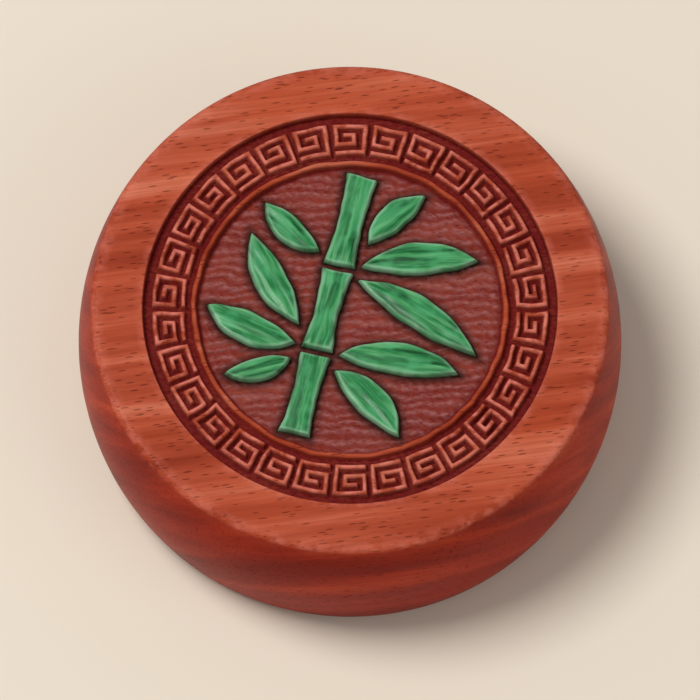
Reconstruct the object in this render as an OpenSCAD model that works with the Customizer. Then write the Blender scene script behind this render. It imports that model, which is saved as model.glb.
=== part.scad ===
// Turned wooden game piece: a drum-shaped disc with a carved and painted face.
// The base rests on z = 0 and the axis of the disc is +Z. All sizes are in millimetres.

/* [Disc] */
// Widest diameter, at the belly of the side
disc_d = 45; // [42:0.5:60]
// Height from the base to the rim
disc_h = 16.5; // [12:0.5:26]
// How far the side swells out between its two edges
belly = 1.2; // [0.2:0.1:1.8]
// Rounding between the rim and the side
rim_edge_r = 0.7; // [0.3:0.1:2]
// Rounding between the base and the side
base_edge_r = 0.8; // [0.3:0.1:2]

/* [Carved face] */
// Width of the plain rim, from the belly to the sunk field
rim_w = 5.4; // [4.5:0.1:6.5]
// Depth of the field floor below the rim
field_depth = 0.9; // [0.5:0.05:1.5]
// Height of the fret and the ring line above the field floor
fret_rise = 0.7; // [0.3:0.05:1]
// Groove between the field wall and the key fret
groove_w = 0.75; // [0.3:0.05:1]

/* [Key fret] */
// Number of keys around the face
key_count = 30; // [20:1:32]
// Size of a key along the radius
key_h = 2.7; // [2.4:0.1:3.2]
// Width of a raised line of the keys
key_line_w = 0.4; // [0.3:0.01:0.5]
// Gap between the keys and the ring line inside them
ring_gap = 0.55; // [0.3:0.05:1]
// Width of the ring line
ring_line_w = 0.45; // [0.3:0.05:0.8]

/* [Emblem] */
// Clear ground between the ring line and the tips of the emblem
emblem_gap = 0.9; // [0.5:0.05:1.5]
// Height of the raised emblem above the field floor, without its paint
emblem_rise = 0.7; // [0.3:0.05:1]
// Thickness of the paint film on the emblem
paint_t = 0.15; // [0.1:0.01:0.3]
// Width of the bamboo stalk at its joints
stalk_w = 2.6; // [2:0.1:3]
// How much each side of the stalk draws in between two joints
stalk_waist = 0.28; // [0.1:0.02:0.4]
// Lean of the stalk from upright, in degrees
stalk_lean = 14; // [8:1:18]
// Distance of the stalk from the middle of the face
stalk_shift = 1.9; // [1.3:0.1:2.5]
// Distance between the two joints of the stalk
joint_span = 7.6; // [7:0.1:8.2]
// Gap between two lengths of the stalk
joint_gap = 0.6; // [0.4:0.05:0.8]
// Width of a leaf at its middle
leaf_w = 2.7; // [2.2:0.1:3]
// Most that the width of a short leaf may be of its length
leaf_plump = 0.36; // [0.28:0.01:0.42]
// How far the middle of a leaf bows to one side, as a share of half its width
leaf_bow = 0.35; // [0:0.05:0.6]
// Gap between the stalk and the near point of a leaf
leaf_gap = 0.6; // [0.4:0.05:0.8]

/* [Hidden] */
$fn = 128;
// Facets of the wide arcs, of which only a short stretch is used
arc_facets = 1440;
// Depth to which raised carving runs into the block under it
root_depth = 0.2;
// Overshoot of the cuts past the faces that they open
cut_over = 1;

disc_r = disc_d / 2;
side_arc_r = (pow(disc_h / 2, 2) + pow(belly, 2)) / (2 * belly);
field_r = disc_r - rim_w;
floor_z = disc_h - field_depth;

key_outer_r = field_r - groove_w;
key_inner_r = key_outer_r - key_h;
key_mid_r = (key_outer_r + key_inner_r) / 2;
ring_outer_r = key_inner_r - ring_gap;
ring_inner_r = ring_outer_r - ring_line_w;
emblem_r = ring_inner_r - emblem_gap;
emblem_z = floor_z + emblem_rise;

// Corners of a key's spiral, in line spacings along the circle and along the radius
KEY_PATH = [[0, 0], [3, 0], [3, 3], [0, 3], [0, 1], [2, 1], [2, 2], [1, 2]];
// Line spacings that a key spans, and those from one key to the next
key_span = 3;
key_step = 4;
key_spacing_u = 2 * PI * key_mid_r / (key_count * key_step);
key_spacing_v = (key_h - key_line_w) / key_span;

stalk_dir = [sin(stalk_lean), cos(stalk_lean)];
stalk_mid = [-stalk_shift, 0];
JOINTS = [stalk_mid + stalk_dir * joint_span / 2, stalk_mid - stalk_dir * joint_span / 2];
// Leaves as joint, direction in degrees from +X, and share of the way to the emblem's edge
LEAVES = [
    [0, 41, 1], [0, 3, 0.97], [0, -34, 0.95], [0, 136, 1],
    [1, 117, 0.9], [1, 155, 1], [1, 194, 1], [1, -9, 0.9], [1, -47, 1]
];
STALK_LENGTHS = 3;

// Distance from a point inside a circle about the origin to the circle, along a unit direction
function way_to_circle(point, dir, r) = sqrt(pow(point * dir, 2) - point * point + r * r) - point * dir;

// Radius of the arc that spans a chord and rises by a given height
function arc_radius(chord, rise) = (pow(chord / 2, 2) + pow(rise, 2)) / (2 * rise);

// Unit direction of one step of a path, and the direction to its left
function step_dir(path, i) = (path[i + 1] - path[i]) / norm(path[i + 1] - path[i]);
function left_of(dir) = [-dir[1], dir[0]];

// Point beside a corner of a path, at half the line's width on one side
function beside(path, i, half_w) =
    let (
        last_corner = len(path) - 1,
        before = left_of(step_dir(path, max(i - 1, 0))),
        after = left_of(step_dir(path, min(i, last_corner - 1)))
    )
    path[i] + half_w * (before == after ? before : before + after);

// Outline of a line drawn along a path
function line_outline(path, w) = concat(
    [for (i = [0 : len(path) - 1]) beside(path, i, w / 2)],
    [for (i = [len(path) - 1 : -1 : 0]) beside(path, i, -w / 2)]
);

// Wraps a point, given as length along the circle and height along the radius, onto the fret's ring
function on_fret(p) =
    let (r = key_inner_r + key_line_w / 2 + p[1], a = p[0] / key_mid_r * 180 / PI)
    [r * sin(a), r * cos(a)];

// Corner piece outside a rounding, from the top or base face down to the swelling side
module edge_waste(edge_r) {
    side_c = disc_r - side_arc_r;
    rise = disc_h / 2 - edge_r;
    run = sqrt(pow(side_arc_r - edge_r, 2) - pow(rise, 2));
    reach = edge_r + belly + cut_over;
    tilt = atan2(rise, run);
    translate([side_c + run, rise])
        difference() {
            polygon([[0, 0], reach * [cos(tilt), sin(tilt)], [reach, reach], [0, reach]]);
            circle(edge_r);
        }
}

// Half section of the plain turned disc
module disc_profile() {
    translate([0, disc_h / 2])
        difference() {
            intersection() {
                translate([0, -disc_h / 2]) square([disc_r, disc_h]);
                translate([disc_r - side_arc_r, 0]) circle(side_arc_r, $fn = arc_facets);
            }
            edge_waste(rim_edge_r);
            mirror([0, 1]) edge_waste(base_edge_r);
        }
}

// One key of the fret
module key_outline() {
    path = [for (p = KEY_PATH) [(p[0] - key_span / 2) * key_spacing_u, p[1] * key_spacing_v]];
    polygon([for (p = line_outline(path, key_line_w)) on_fret(p)]);
}

// Lens between two arcs that meet at both points of a leaf
module leaf_outline(i) {
    joint = JOINTS[LEAVES[i][0]];
    dir = [cos(LEAVES[i][1]), sin(LEAVES[i][1])];
    leaf_start = (stalk_w / 2 + leaf_gap) / abs(cross(dir, stalk_dir));
    leaf_l = LEAVES[i][2] * way_to_circle(joint, dir, emblem_r) - leaf_start;
    translate(joint)
        rotate(LEAVES[i][1])
            translate([leaf_start + leaf_l / 2, 0])
                intersection_for (side = [-1, 1]) {
                    rise = min(leaf_w, leaf_plump * leaf_l) / 2 * (1 + side * leaf_bow);
                    translate([0, side * (rise - arc_radius(leaf_l, rise))])
                        circle(arc_radius(leaf_l, rise), $fn = arc_facets);
                }
}

// One length of the stalk, drawn in between its joints
module stalk_outline(i) {
    low_end = -way_to_circle(stalk_mid, -stalk_dir, emblem_r);
    high_end = way_to_circle(stalk_mid, stalk_dir, emblem_r);
    half_gap = joint_gap / 2;
    joint_y = joint_span / 2;
    starts = [low_end, half_gap - joint_y, half_gap + joint_y];
    ends = [-half_gap - joint_y, -half_gap + joint_y, high_end];
    stalk_l = ends[i] - starts[i];
    waist_r = arc_radius(stalk_l, stalk_waist);
    translate(stalk_mid)
        rotate(-stalk_lean)
            translate([0, (starts[i] + ends[i]) / 2])
                difference() {
                    square([stalk_w, stalk_l], center = true);
                    for (side = [-1, 1])
                        translate([side * (stalk_w / 2 - stalk_waist + waist_r), 0]) circle(waist_r, $fn = arc_facets);
                }
}

// All the strokes of the emblem, as raised islands of the block
module emblem_islands() {
    for (i = [0 : STALK_LENGTHS - 1]) stalk_outline(i);
    for (i = [0 : len(LEAVES) - 1]) leaf_outline(i);
}

// The turned block with its carved face
module wooden_body() {
    color("firebrick") {
        difference() {
            rotate_extrude() disc_profile();
            translate([0, 0, floor_z]) cylinder(r = field_r, h = field_depth + cut_over);
        }
        translate([0, 0, floor_z - root_depth]) {
            linear_extrude(root_depth + fret_rise) {
                for (i = [0 : key_count - 1]) rotate(i * 360 / key_count) key_outline();
                difference() {
                    circle(ring_outer_r);
                    circle(ring_inner_r);
                }
            }
            linear_extrude(root_depth + emblem_rise) emblem_islands();
        }
    }
}

// Film of paint on one length of the stalk
module stalk_paint(i) {
    color("mediumseagreen")
        translate([0, 0, emblem_z]) linear_extrude(paint_t) stalk_outline(i - 1);
}

// Film of paint on one leaf
module leaf_paint(i) {
    color("mediumseagreen")
        translate([0, 0, emblem_z]) linear_extrude(paint_t) leaf_outline(i - 1);
}

wooden_body();
for (i = [1 : STALK_LENGTHS])
    stalk_paint(i);
for (i = [1 : len(LEAVES)])
    leaf_paint(i);
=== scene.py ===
"""A turned wooden game piece with a carved face and a painted emblem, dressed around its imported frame."""

import math

import bpy
import numpy as np
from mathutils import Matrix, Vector


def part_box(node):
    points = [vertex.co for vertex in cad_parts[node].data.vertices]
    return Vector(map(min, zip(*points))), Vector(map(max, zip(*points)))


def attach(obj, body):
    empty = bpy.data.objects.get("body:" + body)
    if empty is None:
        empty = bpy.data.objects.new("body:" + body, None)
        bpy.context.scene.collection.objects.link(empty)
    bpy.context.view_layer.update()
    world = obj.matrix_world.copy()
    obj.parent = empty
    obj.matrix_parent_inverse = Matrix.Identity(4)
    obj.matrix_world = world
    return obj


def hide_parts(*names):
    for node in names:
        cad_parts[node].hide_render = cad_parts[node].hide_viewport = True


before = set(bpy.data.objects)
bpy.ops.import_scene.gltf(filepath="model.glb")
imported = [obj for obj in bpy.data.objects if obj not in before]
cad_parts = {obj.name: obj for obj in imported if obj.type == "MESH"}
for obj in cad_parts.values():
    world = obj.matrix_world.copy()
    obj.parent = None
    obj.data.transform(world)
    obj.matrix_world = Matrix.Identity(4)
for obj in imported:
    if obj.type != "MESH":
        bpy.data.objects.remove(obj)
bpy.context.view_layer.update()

# Sizes in millimetres, taken from the frame where it has them
MM = 0.001
body_lo, body_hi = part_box("wooden_body")
film_lo, film_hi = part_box("stalk_paint_1")
DISC_R = (body_hi.x - body_lo.x) / 2 / MM
DISC_H = (body_hi.z - body_lo.z) / MM
EMBLEM_Z = film_lo.z / MM
PAINT_Z = film_hi.z / MM

# Turned disc
BELLY = 1.2
RIM_EDGE_R = 0.7
BASE_EDGE_R = 0.8
RIM_W = 5.4

# Carved face
FIELD_DEPTH = 0.9
FRET_RISE = 0.7
GROOVE_W = 0.75
# Width of the sloping walls of the carving, seen from above
WALL_W = 0.2
# Shallow groove along the inside of the ring line
TRENCH_W = 0.45
TRENCH_DEPTH = 0.12

# Key fret and ring line
KEY_COUNT = 30
KEY_H = 2.7
KEY_LINE_W = 0.4
RING_GAP = 0.55
RING_LINE_W = 0.45
# Corners of a key's spiral, in line spacings along the circle and along the radius
KEY_PATH = [(0, 0), (3, 0), (3, 3), (0, 3), (0, 1), (2, 1), (2, 2), (1, 2)]
# Line spacings that a key spans, and those from one key to the next
KEY_SPAN = 3
KEY_STEP = 4

# Emblem
EMBLEM_GAP = 0.9
STALK_W = 2.6
STALK_WAIST = 0.28
STALK_LEAN = math.radians(14)
STALK_SHIFT = 1.9
JOINT_SPAN = 7.6
JOINT_GAP = 0.6
LEAF_W = 2.7
LEAF_PLUMP = 0.36
LEAF_BOW = 0.35
LEAF_GAP = 0.6
# Leaves as joint, direction in degrees from +X, and share of the way to the emblem's edge
LEAVES = [
    (0, 41, 1), (0, 3, 0.97), (0, -34, 0.95), (0, 136, 1),
    (1, 117, 0.9), (1, 155, 1), (1, 194, 1), (1, -9, 0.9), (1, -47, 1),
]

# Film of paint over a stroke: its wall outside the outline, its round shoulder, its crown and its foot
FILM_OUT = 0.12
FILM_SHOULDER = 0.1
FILM_CROWN_L = 0.5
FILM_FOOT = 0.25
FILM_LENGTHWISE = 72
FILM_ACROSS = 28
# Brush marks: depth, width, how many times longer than wide, and shift from one film's pattern to the next
BRUSH_MARK = 0.03
BRUSH_MARK_W = 0.7
BRUSH_MARK_STRETCH = 8
BRUSH_SHIFT = 10.0
# The wood under a film is set back from the film's walls and top
ISLAND_INSET = 0.2
ISLAND_DROP = 0.1

# Tool marks on the carved ground, worn tops, and how far the hand strays from the drawn lines
HATCH_PITCH = 0.8
HATCH_DEPTH = 0.13
HATCH_WOBBLE = 0.16
HATCH_WOBBLE_L = 3.0
STIPPLE_SIZE = 0.5
STIPPLE_DEPTH = 0.05
FRET_WEAR = 0.12
FRET_WEAR_L = 4.0
HAND_WANDER = 0.045
HAND_WANDER_L = 2.2

# Random swells: number of waves, their shortest length and its spread in wavelengths, and the seeds
SWELL_WAVES = 7
SWELL_SHORTEST = 0.7
SWELL_SPREAD = 0.8
WANDER_X_SEED = 3
WANDER_Y_SEED = 4
HATCH_SEED = 5
FRET_WEAR_SEED = 7
STIPPLE_SEED = 11
FIRST_FILM_SEED = 20

# How strongly the surface is stained in the grooves, on the ground and on the fret's tops, how dark the
# painted shade beside the carving's walls is, and how strongly the side is darkened and reddened with painted
# shade
GROOVE_STAIN = 0.9
GROUND_STAIN = 0.76
CORNER_SHADE = 0.35
FRET_STAIN = 0.12
SIDE_SHADE_AMOUNT = 1.0
# How pale the keys' tops and the two edges of the rim are worn, with painted highlight laid on as pale wear
KEY_WEAR_HIGHLIGHT = 1.0
EDGE_WEAR_HIGHLIGHT = 0.4
# Pale band of wear and painted highlight on the rounded edge of the rim: its depth below the rim, and its
# width
EDGE_HIGHLIGHT_DROP = RIM_EDGE_R / 4
EDGE_HIGHLIGHT_W = RIM_EDGE_R / 3
# Reach of the painted shade beside a wall and of the dark line of ink and painted shade round the strokes,
# and least dust on the ground
CORNER_W = 0.25
INK_SHADE_W = 0.52
DUST_LEAST = 0.15

# Fineness of the carved face and of the turned side
FACE_STEP = 0.11
COLUMN_GAP = 0.14
RIM_STEP = 0.6
ARC_STEPS = 8
SIDE_STEPS = 16
BASE_STEPS = 4
# Share of a step by which a gap may be too wide before it is divided once more
STEP_SLACK = 0.01
# Rings over the wall of the field: the first and the last, in wall widths from its middle, and their number
FIELD_WALL_FROM = -0.6
FIELD_WALL_TO = 0.8
FIELD_WALL_RINGS = 8

# Map for baked colours: width of the face's disc in it, clear margin round each part, and the height up to
# which a face counts as base
MAP_FACE_W = 0.76
MAP_MARGIN = 0.008
MAP_BASE_Z = 0.001

# Sizes that follow from those above
SIDE_ARC_R = ((DISC_H / 2) ** 2 + BELLY**2) / (2 * BELLY)
SIDE_C = DISC_R - SIDE_ARC_R
FIELD_R = DISC_R - RIM_W
FLOOR_Z = DISC_H - FIELD_DEPTH
KEY_OUTER_R = FIELD_R - GROOVE_W
KEY_INNER_R = KEY_OUTER_R - KEY_H
KEY_MID_R = (KEY_OUTER_R + KEY_INNER_R) / 2
KEY_TURN = 2 * math.pi / KEY_COUNT
KEY_SPACING_U = KEY_TURN * KEY_MID_R / KEY_STEP
KEY_SPACING_V = (KEY_H - KEY_LINE_W) / KEY_SPAN
RING_OUTER_R = KEY_INNER_R - RING_GAP
RING_INNER_R = RING_OUTER_R - RING_LINE_W
EMBLEM_R = RING_INNER_R - EMBLEM_GAP
EMBLEM_RISE = EMBLEM_Z - FLOOR_Z

# Wood: the grain runs along X, a little askew, and its layers lean. Features as length, width and depth
GRAIN_TURN = (math.radians(32), 0, math.radians(8))
BAND_SIZE = (60, 2.0, 14)
FIBRE_SIZE = (5, 0.18, 0.3)
BLOTCH_SIZE = (14, 5, 9)
PORE_SIZE = (1.8, 0.22, 0.22)
SPECKLE_SIZE = (0.5, 0.28, 0.4)
PATCH_SIZE = (1.1, 0.9, 1.0)
GRAIN_RELIEF = 0.03
# Colours of the wood, and of what lies on it
BAND_REDS = [
    (0.31, (0.22, 0.026, 0.010)),
    (0.46, (0.35, 0.055, 0.023)),
    (0.57, (0.47, 0.091, 0.042)),
    (0.71, (0.62, 0.180, 0.100)),
]
BLOTCH_RED = (0.50, 0.078, 0.024, 1)
FIBRE_BROWN = (0.26, 0.030, 0.010, 1)
PORE_BROWN = (0.085, 0.010, 0.005, 1)
# Painted shade: the side is darkened and reddened by this tint
SIDE_SHADE_TINT = (0.84, 0.27, 0.10, 1)
# Pale wear, laid on as painted highlight on the keys' tops and the rim's edges
WORN_HIGHLIGHT_PINK = (0.68, 0.19, 0.135, 1)
# Stain in the carving, and painted shade beside its walls
STAIN_AND_SHADE_CRIMSON = (0.120, 0.005, 0.006, 1)
DUST_PINK = (0.31, 0.105, 0.098, 1)
# Dark ink round the strokes, and painted shade there
INK_SHADE_BLACK = (0.016, 0.010, 0.007, 1)
# Strengths of the wood's patterns: the two pattern values between which they change, and the strength at each
BLOTCH_SPAN = (0.42, 0.66, 0, 0.4)
FIBRE_SPAN = (0.3, 0.7, 0, 0.5)
PORE_SPAN = (0.14, 0.24, 1, 0)
WORN_HIGHLIGHT_SPAN = (0.40, 0.62, 0.05, 1.0)
STAIN_AND_SHADE_SPAN = (0.35, 0.65, 0.8, 1.05)
DUST_SPAN = (0.36, 0.62, 0.15, 0.95)
WOOD_ROUGHNESS_SPAN = (0, 1, 0.38, 0.6)
PORE_STRENGTH = 0.65
INK_SHADE_STRENGTH = 0.85
FIBRE_RELIEF_SHARE = 0.3
WOOD_SPECULAR = 0.05

# Enamel: features as length along the stroke, width across it and depth
STREAK_SIZE = (5, 0.4, 1)
CLOUD_SIZE = (2.2, 1.4, 1)
STREAK_RELIEF = 0.03
STREAK_GREENS = [
    (0.32, (0.003, 0.055, 0.013)),
    (0.50, (0.016, 0.185, 0.049)),
    (0.70, (0.105, 0.37, 0.145)),
]
CLOUD_GREEN = (0.070, 0.38, 0.145, 1)
# Pale edge of the paint, partly painted highlight
THIN_HIGHLIGHT_GREEN = (0.27, 0.48, 0.30, 1)
# Bare wall under the paint, near black as painted shade
BARE_SHADE_BLACK = (0.022, 0.012, 0.008, 1)
# Strengths of the enamel's patterns, given as the wood's are
CLOUD_SPAN = (0.46, 0.62, 0, 0.5)
THIN_HIGHLIGHT_CLOUD_SPAN = (0.35, 0.6, 0.2, 0.8)
ENAMEL_ROUGHNESS_SPAN = (0.3, 0.7, 0.34, 0.5)
# Paint that thins and pales towards the edge, partly painted highlight, and bare wall outside it, darkened
# with painted shade, by depth inside the edge
THIN_HIGHLIGHT_DEPTH_SPAN = (0.06, 0.36, 1, 0)
BARE_SHADE_DEPTH_SPAN = (-0.05, 0.0, 1, 0)
ENAMEL_SPECULAR = 0.2
ENAMEL_COAT = 0.1
ENAMEL_COAT_ROUGHNESS = 0.15

# Floor, just under the base, in metres
FLOOR_SIZE = 20
FLOOR_DROP = 0.02 * MM
FLOOR_COLOUR = (0.76, 0.67, 0.55, 1)
FLOOR_ROUGHNESS = 0.8

# Lamps as name, place and width in metres, and power in watts, and the even light around them
LAMPS = [
    ("key", (-0.24, 0.06, 0.60), 0.26, 3.1),
    ("fill", (0.45, -0.30, 0.50), 0.5, 0.6),
]
WORLD_COLOUR = (1, 1, 1, 1)
WORLD_STRENGTH = 0.35

# Camera, in metres, and the point that it and the lamps are turned to
AIM = Vector((0, -0.001, 0.009))
CAMERA_TILT = math.radians(70)
CAMERA_DISTANCE = 1.65
FRAME_W = 0.058


# Shapes as signed distances, negative inside


def smooth_step(t):
    """0 below 0, 1 above 1 and a smooth rise between them."""
    t = np.clip(t, 0, 1)
    return t * t * (3 - 2 * t)


def hump(t):
    """1 at 0, falling off smoothly to about 0 at 2 on both sides."""
    return np.exp(-(t**2))


def box_distance(x, y, half_x, half_y):
    """Distance to a rectangle about the origin."""
    over_x = np.abs(x) - half_x
    over_y = np.abs(y) - half_y
    outside = np.hypot(np.maximum(over_x, 0), np.maximum(over_y, 0))
    return outside + np.minimum(np.maximum(over_x, over_y), 0)


def ripple(x, y, wavelength, seed):
    """Smooth random swell, mostly between -1 and 1, the same each run."""
    rng = np.random.default_rng(seed)
    total = np.zeros_like(x)
    for way, phase, stretch in rng.random((SWELL_WAVES, 3)):
        turn = 2 * math.pi * way
        length = wavelength * (SWELL_SHORTEST + SWELL_SPREAD * stretch)
        along = x * math.cos(turn) + y * math.sin(turn)
        total += np.sin(2 * math.pi * (along / length + phase))
    return total / math.sqrt(SWELL_WAVES)


def key_distance(x, y):
    """Distance to the nearest line of the key fret, measured on the unrolled ring."""
    turn = np.arctan2(x, y)
    u = (np.mod(turn + KEY_TURN / 2, KEY_TURN) - KEY_TURN / 2) * KEY_MID_R
    v = np.hypot(x, y) - KEY_INNER_R - KEY_LINE_W / 2
    nearest = np.full_like(u, np.inf)
    for (u0, v0), (u1, v1) in zip(KEY_PATH, KEY_PATH[1:]):
        mid_u = ((u0 + u1 - KEY_SPAN) / 2) * KEY_SPACING_U
        mid_v = (v0 + v1) / 2 * KEY_SPACING_V
        half_u = (abs(u1 - u0) * KEY_SPACING_U + KEY_LINE_W) / 2
        half_v = (abs(v1 - v0) * KEY_SPACING_V + KEY_LINE_W) / 2
        nearest = np.minimum(nearest, box_distance(u - mid_u, v - mid_v, half_u, half_v))
    return nearest


def ring_distance(x, y):
    """Distance to the ring line inside the fret."""
    return np.abs(np.hypot(x, y) - (RING_OUTER_R + RING_INNER_R) / 2) - RING_LINE_W / 2


def way_to_circle(point, way, r):
    """Length from a point inside a circle about the origin to the circle, along a unit direction."""
    along = point.dot(way)
    return math.sqrt(along**2 - point.length_squared + r**2) - along


def arc_radius(chord, rise):
    """Radius of the arc that spans a chord and rises by a given height."""
    return ((chord / 2) ** 2 + rise**2) / (2 * rise)


class Stroke:
    """One raised, painted stroke of the emblem, in its own frame with x along the stroke.

    Each kind of stroke has distance(x, y), and outline(t, out): the place along the stroke and its two edges
    there, all moved out by a margin, where t runs from -1 to 1.
    """

    def __init__(self, node, middle, turn, length):
        self.node = node
        self.middle = middle
        self.length = length
        self.cos = math.cos(turn)
        self.sin = math.sin(turn)

    def to_local(self, x, y):
        dx = x - self.middle.x
        dy = y - self.middle.y
        return self.cos * dx + self.sin * dy, self.cos * dy - self.sin * dx

    def to_face(self, x, y):
        return self.middle.x + self.cos * x - self.sin * y, self.middle.y + self.sin * x + self.cos * y


class Leaf(Stroke):
    """A lens between two arcs, bowed to one side."""

    pointed = True

    def __init__(self, node, middle, turn, length):
        super().__init__(node, middle, turn, length)
        half_w = min(LEAF_W, LEAF_PLUMP * length) / 2
        rises = [half_w * (1 + LEAF_BOW), half_w * (1 - LEAF_BOW)]
        self.radii = [arc_radius(length, rise) for rise in rises]
        self.centres = [rises[0] - self.radii[0], self.radii[1] - rises[1]]

    def distance(self, x, y):
        sides = [np.hypot(x, y - c) - r for c, r in zip(self.centres, self.radii)]
        return np.maximum(*sides)

    def outline(self, t, out):
        c0, c1 = self.centres
        r0, r1 = [r + out for r in self.radii]
        tip_y = (r0**2 - r1**2 - c0**2 + c1**2) / (2 * (c1 - c0))
        tip_x = math.sqrt(r0**2 - (tip_y - c0) ** 2)
        x = t * tip_x
        return x, c1 - np.sqrt(r1**2 - x**2), c0 + np.sqrt(r0**2 - x**2)


class StalkLength(Stroke):
    """A length of stalk between two joints, drawn in at its middle."""

    pointed = False

    def __init__(self, node, middle, turn, length):
        super().__init__(node, middle, turn, length)
        self.waist_r = arc_radius(length, STALK_WAIST)
        self.waist_c = STALK_W / 2 - STALK_WAIST + self.waist_r

    def distance(self, x, y):
        bar = box_distance(x, y, self.length / 2, STALK_W / 2)
        waists = [self.waist_r - np.hypot(x, y - side * self.waist_c) for side in (-1, 1)]
        return np.maximum(bar, np.maximum(*waists))

    def outline(self, t, out):
        x = t * (self.length / 2 + out)
        inner = np.minimum(np.abs(x), self.length / 2)
        half_w = self.waist_c - np.sqrt(self.waist_r**2 - inner**2) + out
        return x, -half_w, half_w


def stalk_strokes(stalk_mid, way):
    """The three lengths of the stalk, lowest first."""
    joint = JOINT_SPAN / 2
    half_gap = JOINT_GAP / 2
    low_end = -way_to_circle(stalk_mid, -way, EMBLEM_R)
    high_end = way_to_circle(stalk_mid, way, EMBLEM_R)
    starts = [low_end, half_gap - joint, half_gap + joint]
    ends = [-half_gap - joint, joint - half_gap, high_end]
    turn = math.pi / 2 - STALK_LEAN
    strokes = []
    for number, (start, end) in enumerate(zip(starts, ends), 1):
        middle = stalk_mid + way * (start + end) / 2
        strokes.append(StalkLength(f"stalk_paint_{number}", middle, turn, end - start))
    return strokes


def leaf_strokes(stalk_mid, way):
    """The leaves, from a gap beside the stalk to near the emblem's edge."""
    joints = [stalk_mid + way * JOINT_SPAN / 2, stalk_mid - way * JOINT_SPAN / 2]
    strokes = []
    for number, (which, degrees, share) in enumerate(LEAVES, 1):
        turn = math.radians(degrees)
        leaf_way = Vector((math.cos(turn), math.sin(turn)))
        start = (STALK_W / 2 + LEAF_GAP) / abs(leaf_way.cross(way))
        length = share * way_to_circle(joints[which], leaf_way, EMBLEM_R) - start
        middle = joints[which] + leaf_way * (start + length / 2)
        strokes.append(Leaf(f"leaf_paint_{number}", middle, turn, length))
    return strokes


STALK_WAY = Vector((math.sin(STALK_LEAN), math.cos(STALK_LEAN)))
STALK_MID = Vector((-STALK_SHIFT, 0))
STROKES = stalk_strokes(STALK_MID, STALK_WAY) + leaf_strokes(STALK_MID, STALK_WAY)


def emblem_distance(x, y):
    """Distance to the nearest stroke of the emblem."""
    nearest = np.full_like(x, np.inf)
    for stroke in STROKES:
        nearest = np.minimum(nearest, stroke.distance(*stroke.to_local(x, y)))
    return nearest


def raised(distance):
    """1 on top of a raised shape and 0 beside it, with a sloping wall about its outline."""
    return smooth_step(0.5 - distance / WALL_W)


def unsteady(x, y):
    """Where points of the drawn carving end up under a hand that isn't quite steady."""
    stray = HAND_WANDER * smooth_step((FIELD_R - WALL_W - np.hypot(x, y)) / GROOVE_W)
    stray_x = stray * ripple(x, y, HAND_WANDER_L, WANDER_X_SEED)
    stray_y = stray * ripple(x, y, HAND_WANDER_L, WANDER_Y_SEED)
    return x + stray_x, y + stray_y


def carved_face(x, y):
    """Height of the face, and its stain, ink, dust, wear and side shade, partly painted shade and highlight.
    """
    r = np.hypot(x, y)
    key_d = key_distance(x, y)
    fret_d = np.minimum(key_d, ring_distance(x, y))
    emblem_d = emblem_distance(x, y)
    rim = raised(FIELD_R - r)
    fret = raised(fret_d)
    island = raised(emblem_d + ISLAND_INSET)
    floor = (1 - rim) * (1 - fret) * (1 - island)
    ground = smooth_step((RING_INNER_R - r) / TRENCH_W)

    hatch_y = y + HATCH_WOBBLE * ripple(x, y, HATCH_WOBBLE_L, HATCH_SEED)
    hatch = 0.5 + 0.5 * np.sin(2 * math.pi * hatch_y / HATCH_PITCH)
    stipple = ripple(x, y, STIPPLE_SIZE, STIPPLE_SEED)
    trench = hump((RING_INNER_R - TRENCH_W / 2 - r) / (TRENCH_W / 2))
    marks = ground * (HATCH_DEPTH * hatch + STIPPLE_DEPTH * stipple) + TRENCH_DEPTH * trench
    fret_wear = 0.5 + 0.5 * ripple(x, y, FRET_WEAR_L, FRET_WEAR_SEED)
    fret_rise = FRET_RISE * (1 - FRET_WEAR * fret_wear)
    island_rise = EMBLEM_RISE - ISLAND_DROP
    z = FLOOR_Z - floor * marks
    z += np.maximum.reduce([FIELD_DEPTH * rim, fret_rise * fret, island_rise * island])

    # Painted shade: the floor is darkened beside walls, and dust is kept out of that shade
    nearest = np.minimum.reduce([fret_d, emblem_d, FIELD_R - r])
    corner = hump(np.maximum(nearest, 0) / CORNER_W)
    stain_and_shade = floor * (GROOVE_STAIN + (GROUND_STAIN - GROOVE_STAIN) * ground + CORNER_SHADE * corner)
    stain_and_shade += (1 - rim) * fret * FRET_STAIN
    # Dark ink round the strokes, which also paints shade there
    ink_and_shade = floor * hump(np.maximum(emblem_d, 0) / INK_SHADE_W)
    dust = floor * ground * (1 - corner) * (DUST_LEAST + (1 - DUST_LEAST) * (1 - hatch))
    # Pale wear with painted highlight on the keys' tops and the inner edge of the rim
    field_edge = hump((r - FIELD_R - WALL_W / 2) / (WALL_W / 2))
    wear_and_highlight = KEY_WEAR_HIGHLIGHT * raised(key_d) + EDGE_WEAR_HIGHLIGHT * field_edge
    side_shade = np.zeros_like(x)
    return z, {"stain_and_shade": np.clip(stain_and_shade, 0, 1), "ink_and_shade": ink_and_shade, "dust": dust, "wear_and_highlight": wear_and_highlight, "side_shade": side_shade}


# Meshes


def new_piece(name, points, faces, attributes):
    """A smooth mesh piece from points in millimetres, with a value of each attribute at each point."""
    mesh = bpy.data.meshes.new(name)
    mesh.from_pydata(points * MM, [], faces)
    mesh.shade_smooth()
    for key, values in attributes.items():
        kind = "FLOAT" if values.ndim == 1 else "FLOAT_VECTOR"
        field = "value" if values.ndim == 1 else "vector"
        layer = mesh.attributes.new(key, kind, "POINT")
        layer.data.foreach_set(field, values.astype(np.float32).ravel())
    piece = bpy.data.objects.new(name, mesh)
    bpy.context.collection.objects.link(piece)
    return piece


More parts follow.
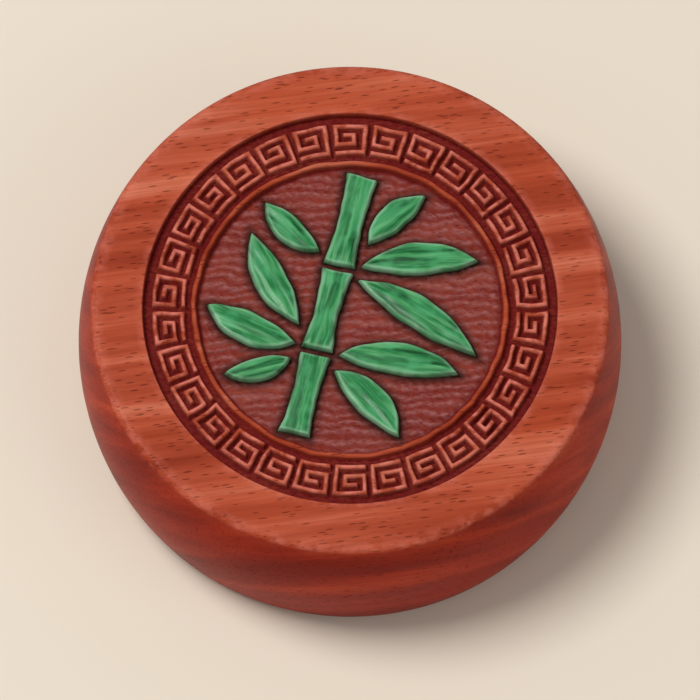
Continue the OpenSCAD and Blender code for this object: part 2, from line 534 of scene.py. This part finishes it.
def add_bake_map(mesh, points, faces, along):
    """Lays the face out as a large disc, the side as a strip below it and the base as a small disc beside it.

    along is each point's way from the rim over the side, and 0 on the face.
    """
    corner = np.concatenate([np.array(face) for face in faces])
    sizes = np.array([len(face) for face in faces])
    starts = np.cumsum(sizes) - sizes
    x, y, z = points[corner].T
    run = along[corner]
    on_face = np.repeat(np.maximum.reduceat(run, starts) == 0, sizes)
    on_base = np.repeat(np.maximum.reduceat(z, starts) < MAP_BASE_Z, sizes)
    side_l = run[~on_base].max()

    # A face over the seam is drawn out past the end of the strip instead of back across it
    turn = np.arctan2(y, x) / (2 * math.pi) + 0.5
    reach = np.maximum.reduceat(turn, starts) - np.minimum.reduceat(turn, starts)
    over_seam = np.repeat(reach > 0.5, sizes)
    turn = np.where(over_seam & (turn < 0.5), turn + 1, turn)
    strip_h = 1 - MAP_FACE_W
    u = MAP_MARGIN + turn / turn.max() * (1 - 2 * MAP_MARGIN)
    v = MAP_MARGIN + run / side_l * (strip_h - 2 * MAP_MARGIN)

    face_disc = (on_face, MAP_FACE_W / 2, MAP_FACE_W)
    base_disc = (on_base, 1 - strip_h / 2, strip_h)
    for part, middle_u, width in (face_disc, base_disc):
        scale = (width / 2 - MAP_MARGIN) / np.hypot(x, y)[part].max()
        u = np.where(part, middle_u + x * scale, u)
        v = np.where(part, 1 - width / 2 + y * scale, v)
    layer = mesh.uv_layers.new(name="OFBake")
    layer.data.foreach_set("uv", np.stack([u, v], 1).astype(np.float32).ravel())


def faces_between(start, n, next_start, next_n):
    """Faces between rings of n and next_n points: equal counts, one twice the other, or a single point."""
    if n == 1 or next_n == 1:
        around = np.arange(max(n, next_n))
        after = (around + 1) % len(around)
        if n == 1:
            return [(start, next_start + a, next_start + b) for a, b in zip(around, after)]
        return [(start + a, next_start, start + b) for a, b in zip(around, after)]
    if n == next_n:
        around = np.arange(n)
        after = (around + 1) % n
        corners = [start + around, next_start + around, next_start + after, start + after]
        return np.stack(corners, 1).tolist()
    few = np.arange(min(n, next_n))
    few_after = (few + 1) % len(few)
    first = 2 * few
    second = 2 * few + 1
    third = (2 * few + 2) % max(n, next_n)
    if next_n > n:
        corner = np.stack([start + few, next_start + first, next_start + second], 1)
        rest = np.stack([start + few, next_start + second, next_start + third, start + few_after], 1)
    else:
        corner = np.stack([start + first, next_start + few, start + second], 1)
        rest = np.stack([start + second, next_start + few, next_start + few_after, start + third], 1)
    return corner.tolist() + rest.tolist()


def wall_places(walls):
    """The foot, the middle and the top of each wall, in order."""
    return np.sort(np.concatenate([walls - WALL_W / 2, walls, walls + WALL_W / 2]))


def filled(places, step):
    """Places with further ones between them, so that none are further apart than a step."""
    parts = [places[:1]]
    for a, b in zip(places, places[1:]):
        count = math.ceil((b - a) / step - STEP_SLACK)
        parts.append(np.linspace(a, b, count + 1)[1:])
    return np.concatenate(parts)


def column_turns():
    """Angles of the columns through the fret, three to a wall of its upright lines, and of even columns."""
    lines = (np.arange(KEY_SPAN + 1) - KEY_SPAN / 2) * KEY_SPACING_U
    walls = np.concatenate([lines - KEY_LINE_W / 2, lines + KEY_LINE_W / 2])
    in_key = wall_places(walls) / KEY_MID_R
    even_in_key = ((np.arange(len(in_key)) + 0.5) / len(in_key) - 0.5) * KEY_TURN
    keys = math.pi / 2 + np.arange(KEY_COUNT)[:, None] * KEY_TURN
    return (keys + in_key).ravel(), (keys + even_in_key).ravel()


FRET_TURNS, EVEN_TURNS = column_turns()


def face_ring(r):
    """Points of a ring of the carved face, with fewer of them on small rings and on the plain rim."""
    in_fret = abs(r - KEY_MID_R) < KEY_H / 2 + WALL_W
    turns = FRET_TURNS if in_fret else EVEN_TURNS
    gap = 2 * math.pi * r / len(turns)
    stride = 2 if r > FIELD_R + WALL_W else 1
    while len(turns) % (2 * stride) == 0 and 2 * stride * gap < COLUMN_GAP:
        stride *= 2
    return r * np.cos(turns[::stride]), r * np.sin(turns[::stride])


def face_radii(rim_r):
    """Radii of the rings of the carved face, from its first ring to the outer edge of the rim."""
    lines = KEY_INNER_R + np.arange(KEY_SPAN + 1) * KEY_SPACING_V
    walls = np.concatenate([lines, lines + KEY_LINE_W, [RING_INNER_R, RING_OUTER_R]])
    carving = filled(np.concatenate([[FACE_STEP], wall_places(walls)]), FACE_STEP)
    field_wall = FIELD_R + np.linspace(FIELD_WALL_FROM, FIELD_WALL_TO, FIELD_WALL_RINGS) * WALL_W
    groove = filled(np.array([carving[-1], field_wall[0]]), FACE_STEP)[1:-1]
    rim = filled(np.array([field_wall[-1], rim_r]), RIM_STEP)[1:-1]
    return np.concatenate([carving, groove, field_wall, rim])


def edge_arc(edge_r):
    """Rounding between a flat end and the side, as radius and height above mid-height, and its last angle."""
    rise = DISC_H / 2 - edge_r
    run = math.sqrt((SIDE_ARC_R - edge_r) ** 2 - rise**2)
    tilt = math.atan2(rise, run)
    turns = np.linspace(math.pi / 2, tilt, ARC_STEPS)
    return [(SIDE_C + run + edge_r * math.cos(a), rise + edge_r * math.sin(a)) for a in turns], tilt


def turned_profile():
    """Radius and height of the plain surface from the rim, over the side, to the middle of the base."""
    rim_edge, rim_tilt = edge_arc(RIM_EDGE_R)
    base_edge, base_tilt = edge_arc(BASE_EDGE_R)
    side_turns = np.linspace(rim_tilt, -base_tilt, SIDE_STEPS)[1:-1]
    side = [(SIDE_C + SIDE_ARC_R * math.cos(a), SIDE_ARC_R * math.sin(a)) for a in side_turns]
    lower_edge = [(r, -z) for r, z in reversed(base_edge)]
    base = [(r, -DISC_H / 2) for r in np.linspace(base_edge[0][0], 0, BASE_STEPS)[1:]]
    return np.array([(r, z + DISC_H / 2) for r, z in rim_edge + side + lower_edge + base])


def wooden_body():
    """The whole block as one closed surface: carved face, rim, swelling side and flat base."""
    profile = turned_profile()
    rings = [(np.zeros(1), np.zeros(1))] + [face_ring(r) for r in face_radii(profile[0, 0])]
    counts = [len(x) for x, y in rings]
    x, y = np.concatenate(rings, axis=1)
    z, attributes = carved_face(x, y)
    layers = [np.stack([*unsteady(x, y), z], 1)]
    side_turns = EVEN_TURNS[::2]
    for r, height in profile:
        turns = side_turns if r > 0 else np.zeros(1)
        layers.append(np.stack([r * np.cos(turns), r * np.sin(turns), np.full(len(turns), height)], 1))
        counts.append(len(turns))
    points = np.concatenate(layers)

    turned_z = points[len(x):, 2]
    turned = {key: np.zeros(len(turned_z)) for key in attributes}
    # Pale wear with painted highlight along the rim's outer edge
    turned["wear_and_highlight"] = EDGE_WEAR_HIGHLIGHT * hump((DISC_H - EDGE_HIGHLIGHT_DROP - turned_z) / EDGE_HIGHLIGHT_W)
    # Painted shade: the side is darkened below the rim
    turned["side_shade"] = SIDE_SHADE_AMOUNT * smooth_step((DISC_H - turned_z) / RIM_EDGE_R)
    for key in attributes:
        attributes[key] = np.concatenate([attributes[key], turned[key]])

    starts = np.concatenate([[0], np.cumsum(counts)])
    faces = []
    for start, n, next_start, next_n in zip(starts, counts, starts[1:], counts[1:]):
        faces += faces_between(start, n, next_start, next_n)
    piece = new_piece("carved_wood", points, faces, attributes)
    runs = np.concatenate([[0], np.cumsum(np.hypot(*np.diff(profile, axis=0).T))])
    along = np.concatenate([np.zeros(len(x)), np.repeat(runs, counts[-len(profile):])])
    add_bake_map(piece.data, points, faces, along)
    return piece


def film_height(depth):
    """Height of the paint at a depth inside the stroke's edge: a wall, a round shoulder and a low crown."""
    foot_z = FLOOR_Z - FILM_FOOT
    wall = smooth_step((depth + FILM_OUT) / (FILM_OUT + FILM_SHOULDER))
    crown = 1 - np.exp(-np.maximum(depth, 0) / FILM_CROWN_L)
    return foot_z + wall * (EMBLEM_Z - foot_z + (PAINT_Z - EMBLEM_Z) * crown)


def close_at_ends(count):
    """Steps from -1 to 1 that get shorter towards both ends."""
    return np.sin(np.linspace(-1, 1, count + 1) * math.pi / 2)


def quads(grid):
    """Faces over a grid of point numbers."""
    return np.stack([grid[:-1, :-1], grid[1:, :-1], grid[1:, 1:], grid[:-1, 1:]], 2).reshape(-1, 4)


def skin_corners(shape, pointed):
    """Point numbers of the faces of a closed skin: a grid of points, and a second one under it."""
    size = shape[0] * shape[1]
    index = np.arange(size).reshape(shape)
    for end in (0, -1):
        # A pointed end is one point, and a square one has its two corners cut off
        index[end, [0, -1]] = index[end, [1, -2]]
        if pointed:
            index[end] = index[end, 0]
    edge = np.ones(shape, bool)
    edge[1:-1, 1:-1] = False
    under_index = np.where(edge, index, index + size)
    return np.concatenate([quads(index), quads(under_index)[:, ::-1]])


def paint_film(stroke, seed):
    """A closed skin of paint over one stroke, with brush marks along it."""
    x, low, high = stroke.outline(close_at_ends(FILM_LENGTHWISE), FILM_OUT)
    s = close_at_ends(FILM_ACROSS)
    across = low[:, None] + (high - low)[:, None] * (s[None, :] + 1) / 2
    along = np.repeat(x[:, None], len(s), axis=1)
    depth = -stroke.distance(along, across)
    inner = smooth_step(depth / FILM_CROWN_L)
    marks = 1 + ripple(along / BRUSH_MARK_STRETCH, across, BRUSH_MARK_W, seed)
    z = film_height(depth) - inner * BRUSH_MARK * marks
    top = np.stack([*unsteady(*stroke.to_face(along, across)), z], 2).reshape(-1, 3)
    under = top.copy()
    under[:, 2] = np.minimum(EMBLEM_Z, top[:, 2]) - BRUSH_MARK

    used, numbers = np.unique(skin_corners(along.shape, stroke.pointed), return_inverse=True)
    faces = [list(dict.fromkeys(face)) for face in numbers.reshape(-1, 4).tolist()]
    points = np.concatenate([top, under])[used]
    brush = np.stack([along, across, np.full_like(along, BRUSH_SHIFT * seed)], 2).reshape(-1, 3)
    attributes = {"brush": np.tile(brush, (2, 1))[used], "depth": np.tile(depth.ravel(), 2)[used]}
    return new_piece(stroke.node.replace("_paint_", "_film_"), points, faces, attributes)


# Materials


class Finish:
    """A material with short calls for the nodes that the finishes use."""

    def __init__(self, name):
        self.material = bpy.data.materials.new(name)
        self.material.use_nodes = True
        self.tree = self.material.node_tree
        self.shader = self.tree.nodes["Principled BSDF"]

    def feed(self, socket, value):
        """Links a socket to another node's output, or sets it to a plain value."""
        if isinstance(value, bpy.types.NodeSocket):
            self.tree.links.new(value, socket)
        else:
            socket.default_value = value

    def shade(self, **inputs):
        """Feeds the shader's inputs, with _ for the spaces in their names."""
        for key, value in inputs.items():
            self.feed(self.shader.inputs[key.replace("_", " ")], value)

    def add(self, kind, inputs=None, **settings):
        node = self.tree.nodes.new(kind)
        for key, value in settings.items():
            setattr(node, key, value)
        for key, value in (inputs or {}).items():
            self.feed(node.inputs[key], value)
        return node

    def stretched(self, source, size, turn=(0, 0, 0)):
        """Coordinates in which a feature of a given size along each axis is one unit."""
        inputs = {"Vector": source, "Scale": size, "Rotation": turn}
        return self.add("ShaderNodeMapping", inputs, vector_type="TEXTURE").outputs["Vector"]

    def noise(self, vector, detail=2.0, roughness=0.5, distortion=0.0):
        inputs = {"Vector": vector, "Scale": 1.0, "Detail": detail}
        inputs |= {"Roughness": roughness, "Distortion": distortion}
        return self.add("ShaderNodeTexNoise", inputs).outputs["Fac"]

    def cells(self, vector):
        """Distance to the nearest of one random point to each unit."""
        inputs = {"Vector": vector, "Scale": 1.0}
        return self.add("ShaderNodeTexVoronoi", inputs, feature="F1").outputs["Distance"]

    def attribute(self, name, output="Fac"):
        return self.add("ShaderNodeAttribute", attribute_name=name).outputs[output]

    def reckon(self, operation, a, b):
        return self.add("ShaderNodeMath", {0: a, 1: b}, operation=operation).outputs[0]

    def span(self, value, low, high, to_low, to_high):
        """Moves a value from one range to another, held at both ends."""
        inputs = {"Value": value, "From Min": low, "From Max": high, "To Min": to_low, "To Max": to_high}
        return self.add("ShaderNodeMapRange", inputs).outputs["Result"]

    def mix(self, factor, a, b, blend="MIX"):
        inputs = {0: factor, 6: a, 7: b}
        return self.add("ShaderNodeMix", data_type="RGBA", blend_type=blend, inputs=inputs).outputs[2]

    def ramp(self, factor, stops):
        node = self.add("ShaderNodeValToRGB", {"Fac": factor})
        elements = node.color_ramp.elements
        while len(elements) < len(stops):
            elements.new(0.5)
        for element, (place, colour) in zip(elements, stops):
            element.position = place
            element.color = (*colour, 1)
        return node.outputs["Color"]

    def bump(self, height, depth):
        """Normals of a relief whose heights run over a given depth in millimetres."""
        inputs = {"Height": height, "Distance": depth * MM, "Strength": 1.0}
        return self.add("ShaderNodeBump", inputs).outputs["Normal"]


def wood_finish():
    """Red open-pored hardwood under wax, stained dark in the carving, with painted shade and highlight."""
    f = Finish("waxed_red_wood")
    place = f.add("ShaderNodeTexCoord").outputs["Object"]

    def fitted(size, turn=(0, 0, 0)):
        return f.stretched(place, [length * MM for length in size], turn)

    bands = f.noise(fitted(BAND_SIZE, GRAIN_TURN), detail=3, roughness=0.55, distortion=0.3)
    fibre = f.noise(fitted(FIBRE_SIZE, GRAIN_TURN), detail=3, roughness=0.6)
    blotch = f.noise(fitted(BLOTCH_SIZE, GRAIN_TURN))
    pore = f.span(f.cells(fitted(PORE_SIZE, GRAIN_TURN)), *PORE_SPAN)
    speckle = f.noise(fitted(SPECKLE_SIZE), detail=3, roughness=0.65)
    patch = f.noise(fitted(PATCH_SIZE), detail=3, roughness=0.6)

    colour = f.ramp(bands, BAND_REDS)
    colour = f.mix(f.span(blotch, *BLOTCH_SPAN), colour, BLOTCH_RED)
    colour = f.mix(f.span(fibre, *FIBRE_SPAN), colour, FIBRE_BROWN)
    colour = f.mix(f.reckon("MULTIPLY", pore, PORE_STRENGTH), colour, PORE_BROWN)
    # Painted shade: the side darkened and reddened
    colour = f.mix(f.attribute("side_shade"), colour, SIDE_SHADE_TINT, "MULTIPLY")
    # Pale wear, partly painted highlight
    wear_and_highlight = f.reckon("MULTIPLY", f.attribute("wear_and_highlight"), f.span(patch, *WORN_HIGHLIGHT_SPAN))
    colour = f.mix(wear_and_highlight, colour, WORN_HIGHLIGHT_PINK)
    # Stain, and painted shade beside the walls
    stain_and_shade = f.reckon("MULTIPLY", f.attribute("stain_and_shade"), f.span(speckle, *STAIN_AND_SHADE_SPAN))
    colour = f.mix(stain_and_shade, colour, STAIN_AND_SHADE_CRIMSON)
    dust = f.reckon("MULTIPLY", f.attribute("dust"), f.span(speckle, *DUST_SPAN))
    colour = f.mix(dust, colour, DUST_PINK)
    # Ink, and painted shade round the strokes
    ink_and_shade = f.reckon("MULTIPLY", f.attribute("ink_and_shade"), INK_SHADE_STRENGTH)
    colour = f.mix(ink_and_shade, colour, INK_SHADE_BLACK)

    roughness = f.span(f.reckon("ADD", stain_and_shade, pore), *WOOD_ROUGHNESS_SPAN)
    height = f.reckon("SUBTRACT", f.reckon("MULTIPLY", fibre, FIBRE_RELIEF_SHARE), pore)
    f.shade(Base_Color=colour, Roughness=roughness, Normal=f.bump(height, GRAIN_RELIEF))
    f.shade(Specular_IOR_Level=WOOD_SPECULAR)
    return f.material


def enamel_finish():
    """Brushed green enamel, thin and pale at the edges with painted highlight, on bare walls in painted
    shade.
    """
    f = Finish("green_enamel")
    brush = f.attribute("brush", "Vector")
    depth = f.attribute("depth")
    streak = f.noise(f.stretched(brush, STREAK_SIZE), detail=3, roughness=0.6)
    cloud = f.noise(f.stretched(brush, CLOUD_SIZE))

    colour = f.ramp(streak, STREAK_GREENS)
    colour = f.mix(f.span(cloud, *CLOUD_SPAN), colour, CLOUD_GREEN)
    # Pale thin paint at the edges, partly painted highlight
    thin_and_highlight = f.reckon("MULTIPLY", f.span(depth, *THIN_HIGHLIGHT_DEPTH_SPAN), f.span(cloud, *THIN_HIGHLIGHT_CLOUD_SPAN))
    colour = f.mix(thin_and_highlight, colour, THIN_HIGHLIGHT_GREEN)
    # Bare wall, near black as painted shade
    colour = f.mix(f.span(depth, *BARE_SHADE_DEPTH_SPAN), colour, BARE_SHADE_BLACK)

    roughness = f.span(streak, *ENAMEL_ROUGHNESS_SPAN)
    f.shade(Base_Color=colour, Roughness=roughness, Normal=f.bump(streak, STREAK_RELIEF))
    f.shade(Specular_IOR_Level=ENAMEL_SPECULAR)
    f.shade(Coat_Weight=ENAMEL_COAT, Coat_Roughness=ENAMEL_COAT_ROUGHNESS)
    return f.material


def floor_finish():
    """Plain pale floor."""
    f = Finish("pale_floor")
    f.shade(Base_Color=FLOOR_COLOUR, Roughness=FLOOR_ROUGHNESS)
    return f.material


# The pieces

wood = wood_finish()
enamel = enamel_finish()

body = wooden_body()
body.data.materials.append(wood)
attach(body, "root")
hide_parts("wooden_body")

for seed, stroke in enumerate(STROKES, FIRST_FILM_SEED):
    film = paint_film(stroke, seed)
    film.data.materials.append(enamel)
    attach(film, "root")
    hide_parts(stroke.node)


# Floor, light and camera


def add_floor():
    """A wide square floor just under the base."""
    half = FLOOR_SIZE / 2
    corners = [(-half, -half, 0), (half, -half, 0), (half, half, 0), (-half, half, 0)]
    mesh = bpy.data.meshes.new("floor")
    mesh.from_pydata(corners, [], [(0, 1, 2, 3)])
    mesh.materials.append(floor_finish())
    floor = bpy.data.objects.new("floor", mesh)
    floor.location.z = -FLOOR_DROP
    bpy.context.collection.objects.link(floor)


def add_aimed(holder, place):
    """Puts a lamp or the camera in its place, turned to the piece."""
    holder.location = place
    holder.rotation_euler = (AIM - Vector(place)).to_track_quat("-Z", "Y").to_euler()
    bpy.context.collection.objects.link(holder)


def soft_lamp(name, place, size, power):
    """A round lamp."""
    lamp = bpy.data.lights.new(name, "AREA")
    lamp.shape = "DISK"
    lamp.size = size
    lamp.energy = power
    add_aimed(bpy.data.objects.new(name, lamp), place)


add_floor()
for lamp_name, lamp_place, lamp_size, lamp_power in LAMPS:
    soft_lamp(lamp_name, lamp_place, lamp_size, lamp_power)

world = bpy.data.worlds.new("studio")
world.use_nodes = True
background = world.node_tree.nodes["Background"]
background.inputs["Color"].default_value = WORLD_COLOUR
background.inputs["Strength"].default_value = WORLD_STRENGTH
bpy.context.scene.world = world

camera_data = bpy.data.cameras.new("camera")
camera_data.lens = camera_data.sensor_width * CAMERA_DISTANCE / FRAME_W
camera = bpy.data.objects.new("camera", camera_data)
add_aimed(camera, AIM + CAMERA_DISTANCE * Vector((0, -math.cos(CAMERA_TILT), math.sin(CAMERA_TILT))))
bpy.context.scene.camera = camera
bpy.context.scene.view_settings.view_transform = "Standard"
